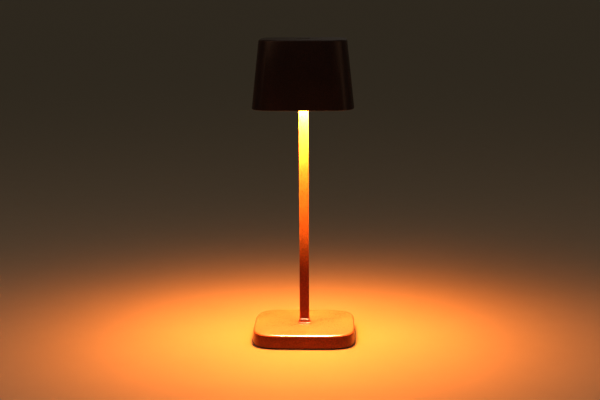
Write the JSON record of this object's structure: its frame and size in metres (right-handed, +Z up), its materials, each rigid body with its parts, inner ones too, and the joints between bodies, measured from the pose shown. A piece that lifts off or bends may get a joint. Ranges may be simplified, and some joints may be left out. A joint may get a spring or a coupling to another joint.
{
  "type": "cordless table lamp",
  "caption": "Cordless rechargeable table lamp: rounded-square base, slim square stem, tapered square shade over a downward light, and a push-button dimmer on top.",
  "frame": {"origin": "centre of the foot pad's underside, on the table under the stem", "axes": "+Z up along the stem, -Y towards the plain front of the base, +Y towards the charging port in the back of the base"},
  "size_m": [0.1094, 0.1094, 0.321],
  "materials": {
    "base_paint": "satin",
    "shade_paint": "satin",
    "steel": "satin",
    "brass": "satin",
    "black_plastic": "matte",
    "rubber": "matte",
    "battery_foil": "satin",
    "green_board": "satin",
    "white_plastic": "satin",
    "coil_grey": "matte",
    "white_metal_board": "satin",
    "phosphor": "satin",
    "opal": "satin",
    "dish_aluminium": "satin",
    "clear_lens": "polished",
    "lead_sheath": "matte"
  },
  "bodies": {
    "lamp": {"base_housing": "base_paint", "stem_tube": "base_paint", "stem_collar": "base_paint", "shade": "shade_paint", "button_housing": "shade_paint", "base_screw_1": "steel", "base_screw_2": "steel", "base_screw_3": "steel", "base_screw_4": "steel", "ballast_plate": "steel", "board_screw_1": "steel", "board_screw_2": "steel", "foot_washer": "steel", "foot_nut": "steel", "head_washer": "steel", "head_nut": "steel", "led_board_screw_1": "steel", "led_board_screw_2": "steel", "led_board_screw_3": "steel", "led_board_screw_4": "steel", "shade_bracket": "steel", "bracket_screw_1": "steel", "bracket_screw_2": "steel", "button_nut": "steel", "charging_socket": "steel", "stem_foot_insert": "brass", "stem_head_insert": "brass", "base_plate": "black_plastic", "port_bezel": "black_plastic", "charge_chip": "black_plastic", "tact_switch": "black_plastic", "foot_pad": "rubber", "battery_pack": "battery_foil", "charge_board": "green_board", "switch_board": "green_board", "lead_connector": "white_plastic", "battery_connector": "white_plastic", "charge_coil": "coil_grey", "led_board": "white_metal_board", "led_1": "phosphor", "led_2": "phosphor", "led_3": "phosphor", "led_4": "phosphor", "led_5": "phosphor", "led_6": "phosphor", "led_7": "phosphor", "led_8": "phosphor", "diffuser": "opal", "head_dish": "dish_aluminium", "charge_lens": "clear_lens", "stem_lead": "lead_sheath", "battery_lead": "lead_sheath", "switch_lead": "lead_sheath"},
    "button": {"dimmer_button": "shade_paint"},
    "plug": {"port_plug": "rubber"}
  },
  "joints": [
    {"name": "dimmer_press", "type": "slide", "parent": "lamp", "child": "button", "axis": [0, 0, -1], "range_m": [0, 0.0008], "stiffness_N_per_m": 1500, "springref_m": -0.0002},
    {"name": "port_plug_swing", "type": "hinge", "parent": "lamp", "child": "plug", "pos_m": [-0.0079, 0.05403, 0.0072], "axis": [0, 0, 1], "range_deg": [0, 110]}
  ]
}
